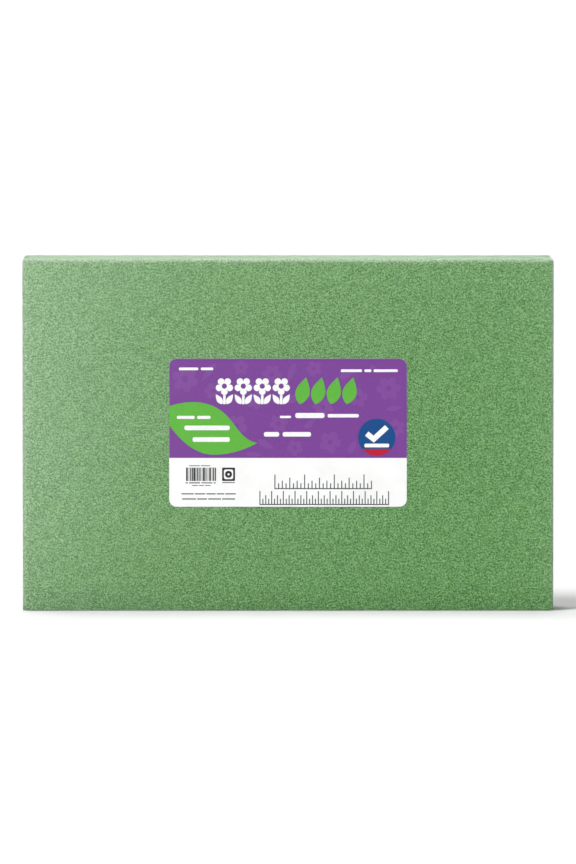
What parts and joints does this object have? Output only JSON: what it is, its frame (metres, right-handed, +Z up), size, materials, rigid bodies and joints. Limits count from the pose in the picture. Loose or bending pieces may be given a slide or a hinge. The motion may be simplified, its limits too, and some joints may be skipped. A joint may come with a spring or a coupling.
{
  "type": "floral foam brick",
  "caption": "Flat rectangular block of green floral foam with softened edges and a round-cornered printed label stuck on its front face.",
  "frame": {"origin": "middle of the long narrow face that the block stands on", "axes": "+X along the block's length, +Z up its height, -Y out of the labelled front face"},
  "size_m": [0.4546, 0.051, 0.3023],
  "materials": {
    "foam": "cut surface of coarse foam cells, leaf green, dry and matte with a faint pale bloom",
    "adhesive": "thin translucent pressure-sensitive adhesive",
    "label_stock": "coated label paper, satin, printed violet above a plain white band"
  },
  "bodies": {
    "root": {"foam_block": "foam", "label_adhesive": "adhesive", "label_paper": "label_stock"}
  },
  "joints": []
}
